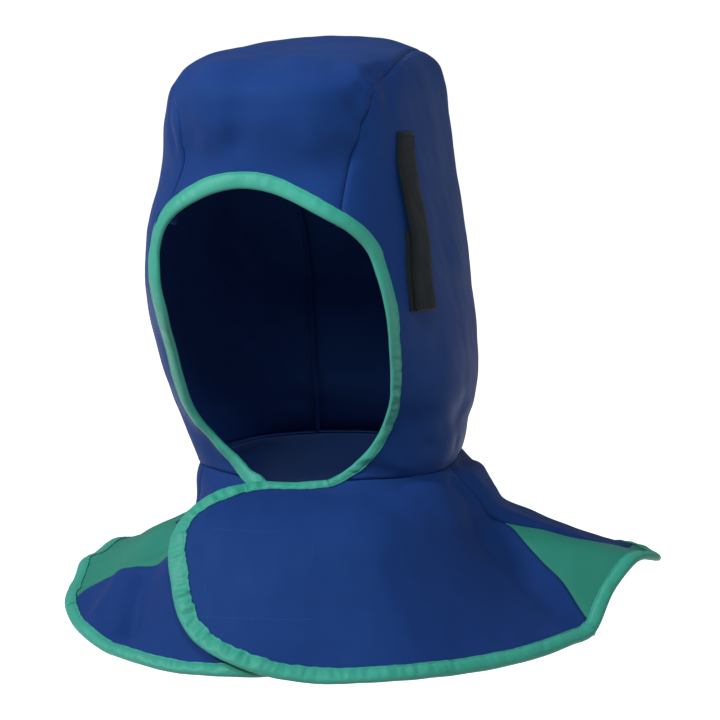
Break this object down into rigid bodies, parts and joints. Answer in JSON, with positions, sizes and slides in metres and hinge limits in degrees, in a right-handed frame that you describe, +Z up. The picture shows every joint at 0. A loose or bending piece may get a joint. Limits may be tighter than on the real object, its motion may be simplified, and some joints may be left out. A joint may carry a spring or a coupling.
{
  "type": "welding hood with shoulder cape",
  "caption": "Close-fitting cloth head hood with a bound oval face opening, side straps and a short lapped shoulder cape with stretch wedges.",
  "frame": {"origin": "inside of the crown at its highest point, where the hood sits on the head", "axes": "+Z up, -Y the way the face looks, +X to the wearer's left"},
  "size_m": [0.3366, 0.2933, 0.3439],
  "materials": {
    "blue_cloth": "matt twill",
    "green_cloth": "soft stretch cloth",
    "green_tape": "satin binding tape",
    "black_tape": "hook-and-loop tape"
  },
  "bodies": {
    "root": {"crown_panel": "blue_cloth", "side_panel_left": "blue_cloth", "side_panel_right": "blue_cloth", "cape_front_left": "blue_cloth", "cape_front_right": "blue_cloth", "cape_back": "blue_cloth", "gusset_left": "green_cloth", "gusset_right": "green_cloth", "face_binding": "green_tape", "flap_binding_left": "green_tape", "flap_binding_right": "green_tape", "hem_binding_back": "green_tape", "strap_left": "black_tape", "strap_right": "black_tape", "strap_patch_left": "black_tape", "strap_patch_right": "black_tape", "closure_patch": "black_tape"}
  },
  "joints": []
}
